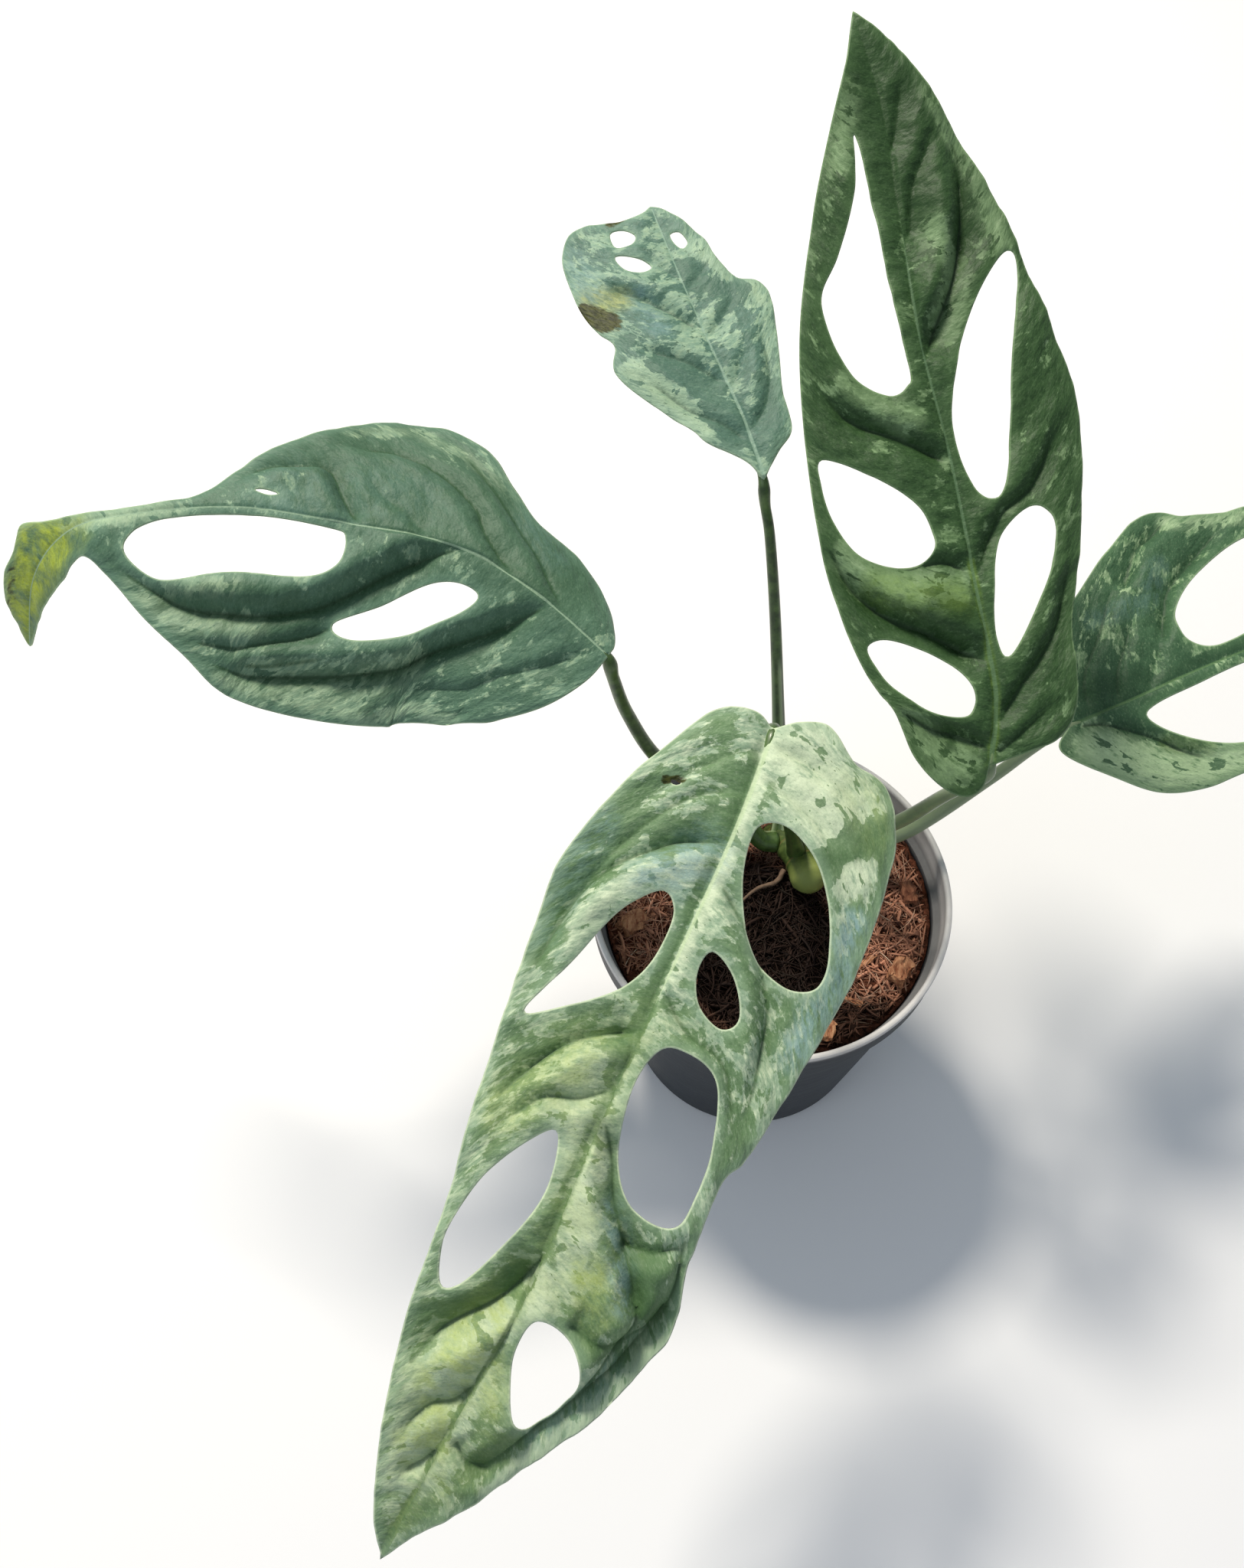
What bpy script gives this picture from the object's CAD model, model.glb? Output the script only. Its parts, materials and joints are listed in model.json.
"""A young swiss-cheese vine with five marbled, holed leaves, in a small round nursery pot.

Lengths are written in millimetres and built in metres, +Z up, with the origin at the centre of
the pot's underside. The vine's growing tip points to -Y, which is the plant's front.
"""
import json
import math
import random

import bmesh
import bpy
import numpy as np
from mathutils import Euler, Matrix, Vector, noise
from mathutils.geometry import delaunay_2d_cdt

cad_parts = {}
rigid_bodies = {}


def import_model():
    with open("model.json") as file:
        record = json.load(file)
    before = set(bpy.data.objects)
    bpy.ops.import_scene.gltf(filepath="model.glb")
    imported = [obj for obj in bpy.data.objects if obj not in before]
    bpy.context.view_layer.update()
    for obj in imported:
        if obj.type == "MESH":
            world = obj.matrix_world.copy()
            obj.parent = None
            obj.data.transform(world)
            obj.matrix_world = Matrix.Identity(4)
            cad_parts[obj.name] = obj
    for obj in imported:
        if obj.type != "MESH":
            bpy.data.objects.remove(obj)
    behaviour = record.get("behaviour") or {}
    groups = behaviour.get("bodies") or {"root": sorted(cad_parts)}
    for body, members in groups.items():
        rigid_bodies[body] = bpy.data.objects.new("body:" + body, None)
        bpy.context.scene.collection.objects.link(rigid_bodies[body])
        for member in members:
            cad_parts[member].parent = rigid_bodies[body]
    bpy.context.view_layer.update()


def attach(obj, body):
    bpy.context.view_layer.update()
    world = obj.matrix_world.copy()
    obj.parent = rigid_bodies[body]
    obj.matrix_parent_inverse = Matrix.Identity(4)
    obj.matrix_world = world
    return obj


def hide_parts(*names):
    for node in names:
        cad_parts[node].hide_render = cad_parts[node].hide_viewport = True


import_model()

# ---------------------------------------------------------------------------------------------
# Camera, floor and light: a view from above the front of the plant, on a plain pale floor. A
# soft lamp high behind the plant and a weak fill light it, with a bright room around them.
MM = 0.001

camera_data = bpy.data.cameras.new("camera")
camera_data.lens = 32.0
camera_data.sensor_width = 36.0
camera = bpy.data.objects.new("camera", camera_data)
camera.location = (-41 * MM, -177 * MM, 431 * MM)
camera.rotation_euler = Euler((math.radians(31.6), 0.0, 0.0))
bpy.context.scene.collection.objects.link(camera)
bpy.context.scene.camera = camera
bpy.context.scene.view_settings.view_transform = "Standard"


def linear(hex_colour):
    """Turn an sRGB hex colour such as 3b444c into a linear RGBA colour."""
    shares = [int(hex_colour[i:i + 2], 16) / 255 for i in (0, 2, 4)]
    return (*[s / 12.92 if s <= 0.04045 else ((s + 0.055) / 1.055) ** 2.4 for s in shares], 1.0)


def set_inputs(node, inputs):
    """Set inputs of a shader node. Each is a value, or a socket of another node to link to."""
    for name, value in inputs.items():
        if isinstance(value, bpy.types.NodeSocket):
            node.id_data.links.new(value, node.inputs[name])
        else:
            node.inputs[name].default_value = value


def add_node(material, kind, inputs=None, **settings):
    """Add a shader node with its settings and inputs."""
    node = material.node_tree.nodes.new("ShaderNode" + kind)
    for name, value in settings.items():
        setattr(node, name, value)
    set_inputs(node, inputs or {})
    return node


def new_material(name):
    """Give back an empty node material and its shader."""
    material = bpy.data.materials.new(name)
    material.use_nodes = True
    return material, material.node_tree.nodes["Principled BSDF"]


# Matt floor paint: off-white, rolled on, with almost no sheen.
floor_finish, floor_shader = new_material("matt floor paint")
set_inputs(floor_shader, {"Base Color": linear("f4f4f4"), "Roughness": 0.9, "Specular IOR Level": 0.1})
bpy.ops.mesh.primitive_plane_add(size=8.0, location=(0.0, 0.0, -0.5 * MM))
floor = bpy.context.object
floor.name = "floor"
floor.data.transform(floor.matrix_world)
floor.matrix_world = Matrix.Identity(4)
floor.data.materials.append(floor_finish)

world = bpy.data.worlds.new("bright room")
world.use_nodes = True
set_inputs(world.node_tree.nodes["Background"], {"Color": linear("e6f0ff"), "Strength": 0.38})
bpy.context.scene.world = world

for lamp_name, place, aim, size, power, tint in (
        ("key lamp", (-400, 720, 1340), (0, 0, 120), 300, 23.5, "fff7ea"),
        ("side fill", (-900, -700, 900), (0, 0, 120), 900, 2.6, "e8f2ff")):
    lamp_data = bpy.data.lights.new(lamp_name, "AREA")
    lamp_data.shape = "DISK"
    lamp_data.size = size * MM
    lamp_data.energy = power
    lamp_data.color = linear(tint)[:3]
    lamp = bpy.data.objects.new(lamp_name, lamp_data)
    lamp.location = Vector(place) * MM
    lamp.rotation_euler = (Vector(aim) - Vector(place)).to_track_quat("-Z", "Y").to_euler()
    bpy.context.scene.collection.objects.link(lamp)

# ---------------------------------------------------------------------------------------------
# Nursery pot: a thin tapered cup with a stepped rim band and drain holes, injection-moulded in
# recycled polypropylene. Its lip is chalky and scuffed from handling.
POT_HEIGHT = 88.0
RIM_RADIUS = 50.0
BASE_RADIUS = 37.5
POT_WALL = 1.1
BAND_FOOT = 78.0
WALL_TOP = 47.4
POT_SIDES = 192
FOOT_RADIUS = BASE_RADIUS - 5      # the flat middle of the underside, which stands clear of the floor
FOOT_CLEAR = 0.9
DRAIN_COUNT = 8
DRAIN_RADIUS = 3.0
DRAIN_CIRCLE = 28.0

bpy.ops.object.select_all(action="DESELECT")
bpy.ops.mesh.primitive_circle_add(vertices=POT_SIDES, radius=FOOT_RADIUS * MM, fill_type="NGON",
                                  location=(0.0, 0.0, FOOT_CLEAR * MM))
pot = bpy.context.object
pot.name = "pot_shell"
pot.data.transform(pot.matrix_world)
pot.matrix_world = Matrix.Identity(4)
bpy.ops.object.mode_set(mode="EDIT")
bpy.ops.mesh.select_all(action="SELECT")
bpy.ops.mesh.flip_normals()
rings = [(FOOT_RADIUS, FOOT_CLEAR)]
for start, steps in (
        (BASE_RADIUS, (
            (-5, 0.35), (-4.7, 0.05), (-4.3, 0.0), (-1.2, 0.0), (-0.5, 0.2), (-0.1, 0.7), (0, 1.3),
            (2.1, 17.0), (4.7, 37.0), (7.3, 57.0))),
        (WALL_TOP, ((-0.25, BAND_FOOT - 1.2), (0, BAND_FOOT - 0.3), (0.3, BAND_FOOT))),
        (RIM_RADIUS, (
            (-1.1, BAND_FOOT + 0.2), (-0.6, BAND_FOOT + 0.4), (-0.45, BAND_FOOT + 0.9),
            (-0.25, 86.0), (0, 86.5), (0, 87.3), (-0.2, 87.8), (-0.6, POT_HEIGHT), (-1.2, 87.95),
            (-1.6, 87.6), (-1.8, 86.9), (-2.1, 80.2), (-2.5, 79.5))),
        (WALL_TOP - POT_WALL, ((0, 78.9), (-0.4, 77.5))),
        (BASE_RADIUS - POT_WALL, (
            (7.2, 57.0), (2.0, 17.0), (0.1, 3.2), (-0.3, 2.4), (-1.2, 2.0)))):
    rings += [(start + change, height) for change, height in steps]
for (radius_now, height_now), (radius, height) in zip(rings[:-1], rings[1:]):
    grow = radius / radius_now
    bpy.ops.mesh.extrude_region_move()
    bpy.ops.transform.resize(value=(grow, grow, 1.0), center_override=(0.0, 0.0, 0.0))
    bpy.ops.transform.translate(value=(0.0, 0.0, (height - height_now) * MM))
bpy.ops.object.mode_set(mode="OBJECT")

for number in range(DRAIN_COUNT):
    turn = math.tau * number / DRAIN_COUNT
    out = DRAIN_CIRCLE * MM
    bpy.ops.mesh.primitive_cylinder_add(
        vertices=32, radius=DRAIN_RADIUS * MM, depth=8.0 * MM,
        location=(out * math.cos(turn), out * math.sin(turn), 1.0 * MM))
bpy.ops.object.select_all(action="DESELECT")
drain_tools = [thing for thing in bpy.data.objects if thing.name.startswith("Cylinder")]
for tool in drain_tools:
    tool.select_set(True)
bpy.context.view_layer.objects.active = drain_tools[0]
bpy.ops.object.join()
drain_tool = bpy.context.object
bpy.ops.object.select_all(action="DESELECT")
pot.select_set(True)
bpy.context.view_layer.objects.active = pot
bpy.ops.object.mode_set(mode="EDIT")
bpy.ops.mesh.select_all(action="SELECT")
bpy.ops.mesh.normals_make_consistent(inside=False)
bpy.ops.object.mode_set(mode="OBJECT")
drains = pot.modifiers.new("drains", "BOOLEAN")
drains.operation = "DIFFERENCE"
drains.solver = "EXACT"
drains.object = drain_tool
bpy.ops.object.modifier_apply(modifier="drains")
bpy.data.objects.remove(drain_tool)
bpy.ops.object.shade_smooth_by_angle(angle=math.radians(40))


def lay_colours(material, colour, layers, ease="LINEAR"):
    """Lay colours over one another, and give back the last.

    Each layer is its colour, the field that it follows, the field's values where it starts and
    stops growing, the most that it covers, and any marks that thin it out.
    """
    for over, field, start, stop, most, *marks in layers:
        share = add_node(material, "MapRange", {
            "Value": field, "From Min": start, "From Max": stop, "To Max": most},
            interpolation_type=ease).outputs["Result"]
        for mark in marks:
            share = add_node(material, "Math", {0: share, 1: mark}, operation="MULTIPLY").outputs[0]
        over = linear(over) if isinstance(over, str) else over
        colour = add_node(material, "Mix", {0: share, 6: colour, 7: over}, data_type="RGBA").outputs[2]
    return colour


# Recycled polypropylene, injection-moulded: a dull slate skin that shows faint flow marks, fine
# scratches round the wall and a chalky, scuffed lip.
pot_finish, shader = new_material("recycled polypropylene")
spot = add_node(pot_finish, "TexCoord").outputs["Object"]
height = add_node(pot_finish, "SeparateXYZ", {"Vector": spot}).outputs["Z"]
flat_spot, flow_spot = [
    add_node(pot_finish, "Mapping", {"Vector": spot, "Scale": scale}).outputs["Vector"]
    for scale in ((1.0, 1.0, 0.0), (60.0, 60.0, 900.0))]
radius_squared = add_node(pot_finish, "VectorMath", {0: flat_spot, 1: flat_spot},
                          operation="DOT_PRODUCT").outputs["Value"]
scratches, clouds, grit = [
    add_node(pot_finish, "TexNoise", {
        "Vector": place, "Scale": scale, "Detail": detail, "Roughness": rough}).outputs["Fac"]
    for place, scale, detail, rough in (
        (flow_spot, 1.0, 5.0, 0.7), (spot, 55.0, 5.0, 0.6), (spot, 900.0, 3.0, 0.6))]
inside_wall, inner_band, lip, worn, dullness = [
    add_node(pot_finish, "MapRange", {
        "Value": field, "From Min": start, "From Max": stop, "To Min": least, "To Max": most,
        }).outputs["Result"]
    for field, start, stop, least, most in (
        (radius_squared, 0.0486 ** 2, 0.0481 ** 2, 0.0, 1.0), (height, 0.0775, 0.083, 0.0, 0.75),
        (height, 0.0845, 0.0878, 0.0, 1.0), (clouds, 0.3, 0.62, 0.7, 1.0),
        (scratches, 0.0, 1.0, 0.42, 0.65))]
chalk = inside_wall
for other, how in ((inner_band, "MULTIPLY"), (lip, "MAXIMUM"), (worn, "MULTIPLY")):
    chalk = add_node(pot_finish, "Math", {0: chalk, 1: other}, operation=how).outputs[0]
slate = lay_colours(pot_finish, linear("13181d"), (
    ("262d34", clouds, 0.0, 1.0, 1.0), ("5d6874", scratches, 0.58, 0.72, 0.22),
    ("e2dfdc", chalk, 0.0, 1.0, 1.0)))
bump = add_node(pot_finish, "Bump", {"Height": grit, "Strength": 0.25, "Distance": 0.0002})
set_inputs(shader, {"Base Color": slate, "Roughness": dullness, "Specular IOR Level": 0.35,
                    "Normal": bump.outputs["Normal"]})
pot.data.materials.append(pot_finish)
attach(pot, "root")
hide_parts("nursery_pot")

# ---------------------------------------------------------------------------------------------
# Coir mix: shredded coconut husk, loosely filled to just under the rim band. Its top is a mat of
# reddish-brown fibres, pith crumbs and husk flakes over dark hollows.
COIR_TOP = 77.6
COIR_RADIUS = 45.6
COIR_RINGS = 60
COIR_SIDES = 180


def coir_height(x, y):
    """Give the height of the coir's lumpy top."""
    broad = noise.noise(Vector((x / 9.0, y / 9.0, 0.3)))
    lumps = noise.noise(Vector((x / 4.0, y / 4.0, 7.0)))
    pits = noise.noise(Vector((x / 1.7, y / 1.7, 3.0)))
    return COIR_TOP + 1.1 * broad + 1.3 * lumps + 0.9 * pits


def finish_mesh(name, points, faces, material, smooth=True):
    """Make a mesh object from points in millimetres and faces that already point outwards."""
    mesh = bpy.data.meshes.new(name)
    mesh.from_pydata((np.asarray(points, float) * MM).tolist(), [], faces)
    mesh.polygons.foreach_set("use_smooth", [smooth] * len(mesh.polygons))
    mesh.materials.append(material)
    mesh.validate()
    thing = bpy.data.objects.new(name, mesh)
    bpy.context.scene.collection.objects.link(thing)
    return thing


points = [(0.0, 0.0, coir_height(0.0, 0.0))]
faces = []
profile = [(COIR_RADIUS * (ring + 1) / COIR_RINGS, None) for ring in range(COIR_RINGS)]
profile += [(COIR_RADIUS - 0.3, 72.0), (COIR_RADIUS - 4.6, 40.0), (36.0, 3.4), (18.0, 3.0)]
for ring, (radius, height) in enumerate(profile):
    for side in range(COIR_SIDES):
        turn = math.tau * side / COIR_SIDES
        x = radius * math.cos(turn)
        y = radius * math.sin(turn)
        points.append((x, y, coir_height(x, y) if height is None else height))
        this = 1 + ring * COIR_SIDES + side
        beside = 1 + ring * COIR_SIDES + (side + 1) % COIR_SIDES
        if ring == 0:
            faces.append((0, this, beside))
        else:
            faces.append((this - COIR_SIDES, this, beside, beside - COIR_SIDES))
first = 1 + (len(profile) - 1) * COIR_SIDES
faces.append(tuple(range(first + COIR_SIDES - 1, first - 1, -1)))


def damp_share(material, spot, most):
    """Show where the coir is damp and dark: round the vine's tip, and in a strip at the front."""
    middle = add_node(material, "Mapping", {
        "Vector": spot, "Location": (0.0036, 0.013, -0.079), "Scale": (1.2, 1.0, 1.0)})
    far = add_node(material, "VectorMath", {0: middle.outputs["Vector"]}, operation="LENGTH")
    front_way = add_node(material, "SeparateXYZ", {"Vector": spot}).outputs["Y"]
    round_tip, front_strip = [
        add_node(material, "MapRange", {
            "Value": field, "From Min": start, "From Max": stop, "To Max": top}).outputs["Result"]
        for field, start, stop, top in (
            (far.outputs["Value"], 0.034, 0.025, most), (front_way, -0.025, -0.031, 0.85))]
    return add_node(material, "Math", {0: round_tip, 1: front_strip}, operation="MAXIMUM").outputs[0]


# Coir pith: dark, dull and crumbly, with a grain of 0.5 to 2 mm.
pith_finish, shader = new_material("coir pith")
spot = add_node(pith_finish, "TexCoord").outputs["Object"]
grain, blotch = [
    add_node(pith_finish, "TexNoise", {
        "Vector": spot, "Scale": scale, "Detail": detail, "Roughness": rough}).outputs["Fac"]
    for scale, detail, rough in ((700.0, 6.0, 0.7), (160.0, 4.0, 0.5))]
brown = lay_colours(pith_finish, linear("0d0604"), (
    ("8a5540", grain, 0.35, 0.7, 1.0), ("8a4a32", blotch, 0.5, 0.65, 0.5),
    ("070403", damp_share(pith_finish, spot, 0.97), 0.0, 1.0, 1.0)))
bump = add_node(pith_finish, "Bump", {"Height": grain, "Strength": 1.0, "Distance": 0.0012})
set_inputs(shader, {"Base Color": brown, "Roughness": 0.95, "Specular IOR Level": 0.08,
                    "Normal": bump.outputs["Normal"]})
coir = finish_mesh("coir_bed", points, faces, pith_finish)
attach(coir, "root")
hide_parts("coir_mix")


def unit(vectors):
    """Scale each row to length one."""
    return vectors / np.linalg.norm(vectors, axis=1)[:, None]


def tube_faces(first, last, sides):
    """Give the side faces and caps of a tube whose rings of points, 0 to last, begin at first."""
    faces = []
    for ring in range(first, first + last * sides, sides):
        for side in range(sides):
            here = ring + side
            beside = ring + (side + 1) % sides
            faces.append((here, here + sides, beside + sides, beside))
    end = first + last * sides
    faces.append(tuple(range(first, first + sides)))
    faces.append(tuple(range(end + sides - 1, end - 1, -1)))
    return faces


def strand_mesh(routes, radii, sides=3):
    """Give the points, faces and per-point strand numbers of thin tubes along the given routes."""
    points = []
    faces = []
    owners = []
    for owner, (route, radius) in enumerate(zip(routes, radii)):
        route = np.array(route)
        heading = unit(np.gradient(route, axis=0))
        level = np.cross(heading, (0.0, 0.0, 1.0))
        level /= np.linalg.norm(level, axis=1)[:, None] + 1e-9
        upright = np.cross(level, heading)
        last = len(route) - 1
        faces += tube_faces(len(points), last, sides)
        for step, place in enumerate(route):
            width = radius * (0.35 if step in (0, last) else 1.0)
            for side in range(sides):
                turn = math.tau * side / sides
                offset = math.cos(turn) * level[step] + math.sin(turn) * upright[step]
                points.append(place + width * offset)
                owners.append(owner)
    return points, faces, owners


def mark_points(thing, kind, values):
    """Store one number per point under a name that the material reads."""
    layer = thing.data.attributes.new(kind, "FLOAT", "POINT")
    layer.data.foreach_set("value", values)


def coir_strand(dice, length, lift):
    """Give the route of one fibre lying in loose curves on the coir."""
    far = COIR_RADIUS * math.sqrt(dice.random())
    turn = dice.uniform(0.0, math.tau)
    x = far * math.cos(turn)
    y = far * math.sin(turn)
    course = dice.uniform(0.0, math.tau)
    curl = dice.gauss(0.0, 0.09)
    pitch = dice.uniform(-0.1, 0.12)
    height = coir_height(x, y) + lift
    route = []
    steps = 7
    for step in range(steps):
        if math.hypot(x, y) > COIR_RADIUS - 0.6:
            break
        floor_height = coir_height(x, y)
        height = max(floor_height + 0.15, min(height, floor_height + 2.6))
        route.append((x, y, height))
        x += length / steps * math.cos(course)
        y += length / steps * math.sin(course)
        height += length / steps * pitch
        course += curl * length / steps
        curl += dice.gauss(0.0, 0.03)
        pitch -= 0.05
    return route


# Coir fibre: dry, fairly dull plant hair from pale straw to dark red-brown, each its own shade.
fibre_finish, shader = new_material("coir fibre")
shade = add_node(fibre_finish, "Attribute", attribute_name="shade").outputs["Fac"]
spot = add_node(fibre_finish, "TexCoord").outputs["Object"]
streaks = add_node(fibre_finish, "TexNoise", {"Vector": spot, "Scale": 500.0, "Detail": 3.0}).outputs["Fac"]
tint = lay_colours(fibre_finish, linear("2c1812"), (
    ("cc9276", shade, 0.0, 0.45, 1.0), ("e0c6ac", shade, 0.55, 1.0, 1.0),
    ("3d1d14", streaks, 0.3, 0.7, 0.3),
    ("0c0807", damp_share(fibre_finish, spot, 0.96), 0.0, 1.0, 1.0)))
set_inputs(shader, {"Base Color": tint, "Roughness": 0.7, "Specular IOR Level": 0.15})

for name, seed, count, thin, thick, short, long, lowest, highest, palest in (
        ("coir_fibres_coarse", 11, 1300, 0.2, 0.6, 4, 13, -0.2, 1.0, 0.7),
        ("coir_fibres_fine", 12, 1700, 0.08, 0.18, 6, 20, 0.0, 1.8, 1.1)):
    dice = random.Random(seed)
    routes = []
    radii = []
    shades = []
    while len(routes) < count:
        route = coir_strand(dice, dice.uniform(short, long), dice.uniform(lowest, highest))
        if len(route) < 4:
            continue
        routes.append(route)
        radii.append(dice.uniform(thin, thick))
        shades.append(min(1.0, max(0.0, dice.triangular(0.0, palest, 0.35))))
    points, faces, owners = strand_mesh(routes, radii)
    fibres = finish_mesh(name, points, faces, fibre_finish)
    mark_points(fibres, "shade", [shades[owner] for owner in owners])
    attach(fibres, "root")

# Pith crumbs and husk flakes: angular scraps of 0.6 to 3 mm scattered through the fibres.
CRUMB_COUNT = 1700
CRUMB_CORNERS = ((1, 0, 0), (-1, 0, 0), (0, 1, 0), (0, -1, 0), (0, 0, 1), (0, 0, -1))
CRUMB_FACES = ((0, 2, 4), (2, 1, 4), (1, 3, 4), (3, 0, 4), (2, 0, 5), (1, 2, 5), (3, 1, 5), (0, 3, 5))
dice = random.Random(13)
points = []
faces = []
shades = []
for _ in range(CRUMB_COUNT):
    far = (COIR_RADIUS - 1.8) * math.sqrt(dice.random())
    turn = dice.uniform(0.0, math.tau)
    size = 0.35 + 1.3 * dice.random() ** 2.5
    centre = np.array((far * math.cos(turn), far * math.sin(turn), 0.0))
    centre[2] = coir_height(centre[0], centre[1]) + dice.uniform(0.0, 0.9)
    spin = Euler([dice.uniform(0, math.tau) for _ in range(3)]).to_matrix()
    stretch = (1.0, dice.uniform(0.4, 0.9), dice.uniform(0.2, 0.6))
    first = len(points)
    for corner in CRUMB_CORNERS:
        offset = spin @ Vector([size * c * s * dice.uniform(0.6, 1.3) for c, s in zip(corner, stretch)])
        points.append(centre + np.array(offset))
    faces += [(first + a, first + b, first + c) for a, b, c in CRUMB_FACES]
    shades += [dice.triangular(0.0, 0.75, 0.2)] * len(CRUMB_CORNERS)
crumbs = finish_mesh("coir_crumbs", points, faces, fibre_finish, smooth=False)
mark_points(crumbs, "shade", shades)
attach(crumbs, "root")

# ---------------------------------------------------------------------------------------------
# Vine: one thick fleshy stem lying on the coir, its back end rooted and its blunt tip forward.
# It has a ring scar at each node, where a leaf stalk leaves it.


def smooth_curve(points, step, closed=False):
    """Give back points about one step apart on a Catmull-Rom curve through the given ones."""
    corners = np.array(points, float)
    if closed:
        ends = np.vstack([corners[-1], corners, corners[:2]])
    else:
        ends = np.vstack([2 * corners[0] - corners[1], corners, 2 * corners[-1] - corners[-2]])
    fine = []
    for before, start, stop, after in zip(ends[:-3], ends[1:-2], ends[2:-1], ends[3:]):
        for t in np.linspace(0.0, 1.0, 12, endpoint=False):
            lean = 2 * before - 5 * start + 4 * stop - after
            swing = 3 * start - before - 3 * stop + after
            fine.append(start + 0.5 * t * (stop - before + lean * t + swing * t * t))
    fine.append(ends[-2])
    fine = np.array(fine)
    travelled = np.concatenate([[0.0], np.cumsum(np.linalg.norm(np.diff(fine, axis=0), axis=1))])
    count = max(2, round(travelled[-1] / step))
    even = np.linspace(0.0, travelled[-1], count + 1)
    if closed:
        even = even[:-1]
    return np.stack([np.interp(even, travelled, column) for column in fine.T], axis=1)


def stem_mesh(name, route, width_at, material, sides=28, step=0.8):
    """Make a closed stem along a route. width_at gives the radius for a share and turns round it."""
    spine = smooth_curve(route, step)
    heading = unit(np.gradient(spine, axis=0))
    turns = np.linspace(0.0, math.tau, sides, endpoint=False)
    points = []
    side_way = np.cross(heading[0], (0.0, 1.0, 0.0))
    for index, place in enumerate(spine):
        side_way = side_way - heading[index] * (side_way @ heading[index])
        side_way /= np.linalg.norm(side_way)
        front_way = np.cross(side_way, heading[index])
        radius = width_at(index / (len(spine) - 1), turns)
        ring = np.outer(np.cos(turns) * radius, side_way) + np.outer(np.sin(turns) * radius, front_way)
        points += list(place + ring)
    faces = tube_faces(0, len(spine) - 1, sides)
    thing = finish_mesh(name, points, faces, material)
    mark_points(thing, "share", np.repeat(np.linspace(0.0, 1.0, len(spine)), sides))
    shell = bmesh.new()
    shell.from_mesh(thing.data)
    bmesh.ops.recalc_face_normals(shell, faces=shell.faces)
    shell.to_mesh(thing.data)
    shell.free()
    return thing


# Living stem skin: smooth and waxy, mid green with paler lengthways streaks, brown scars and a
# fresh tip.
NODE_TURNS = 50.0                  # the ring scars follow a sine wave that turns this far along the vine
stem_finish, shader = new_material("living stem skin")
spot = add_node(stem_finish, "TexCoord").outputs["Object"]
streak_spot = add_node(stem_finish, "Mapping", {
    "Vector": spot, "Scale": (700.0, 700.0, 90.0)}).outputs["Vector"]
streaks = add_node(stem_finish, "TexNoise", {
    "Vector": streak_spot, "Scale": 1.0, "Detail": 4.0}).outputs["Fac"]
share = add_node(stem_finish, "Attribute", attribute_name="share").outputs["Fac"]
wave = add_node(stem_finish, "Math", {0: share, 1: NODE_TURNS}, operation="MULTIPLY").outputs[0]
scar = add_node(stem_finish, "Math", {0: wave}, operation="SINE").outputs[0]
green = lay_colours(stem_finish, linear("3c4e20"), (
    ("5d6e36", streaks, 0.45, 0.7, 1.0), ("6b5a34", scar, 0.93, 1.0, 0.6),
    ("8c9852", share, 0.8, 0.9, 0.85)))
set_inputs(shader, {"Base Color": green, "Roughness": 0.5, "Specular IOR Level": 0.3})


def vine_width(share, _):
    """Give the vine's radius: slim where rooted, ringed at its nodes, blunt and round at its tip."""
    body = np.interp(share, [0, 0.3, 0.6, 0.75, 0.88, 1.0], [3.4, 3.7, 3.8, 4.1, 5.3, 5.6])
    node = 0.35 * max(0.0, math.sin(NODE_TURNS * share)) ** 12
    cap = math.sqrt(max(0.0, 1.0 - max(0.0, (share - 0.87) / 0.13) ** 2))
    return (body + node) * max(cap, 0.06)


vine = stem_mesh("vine", [(1, 28, 56), (2, 25.5, 69), (4, 22, 79), (7, 16, 82.6), (10, 10, 83.6),
                          (13, 1.5, 84.2)], vine_width, stem_finish)
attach(vine, "root")
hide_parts("vine_stem")

# ---------------------------------------------------------------------------------------------
# Air roots: two dry, corky brown roots that run from the vine's nodes along the top of the coir,
# and grow thinner towards their tips.
root_finish, shader = new_material("corky root skin")
spot = add_node(root_finish, "TexCoord").outputs["Object"]
cork = add_node(root_finish, "TexNoise", {
    "Vector": spot, "Scale": 900.0, "Detail": 5.0, "Roughness": 0.7}).outputs["Fac"]
brown = lay_colours(root_finish, linear("33241a"), [("8a705a", cork, 0.0, 1.0, 1.0)])
bump = add_node(root_finish, "Bump", {"Height": cork, "Strength": 0.6, "Distance": 0.0003})
set_inputs(shader, {"Base Color": brown, "Roughness": 0.85, "Normal": bump.outputs["Normal"]})


def root_width(share, turns):
    """Give a root's radius: thinner towards its tip, with three low ridges that wind round it."""
    return (0.8 - 0.5 * share) * (1 + 0.12 * np.sin(3 * turns + 40 * share))


for number, route in enumerate((
        [(5, 9.5, 81.2), (2.5, 6, 80.6), (-3, 4, 80.2), (-9, -1, 79.4)],
        [(16, 15.5, 81.4), (19.5, 18, 80.9), (25, 19.5, 80.5), (29, 23.5, 79.6)]), start=1):
    root = stem_mesh(f"root_{number}", route, root_width, root_finish, sides=10, step=0.5)
    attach(root, "root")
    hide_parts(f"air_root_{number}")

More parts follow.
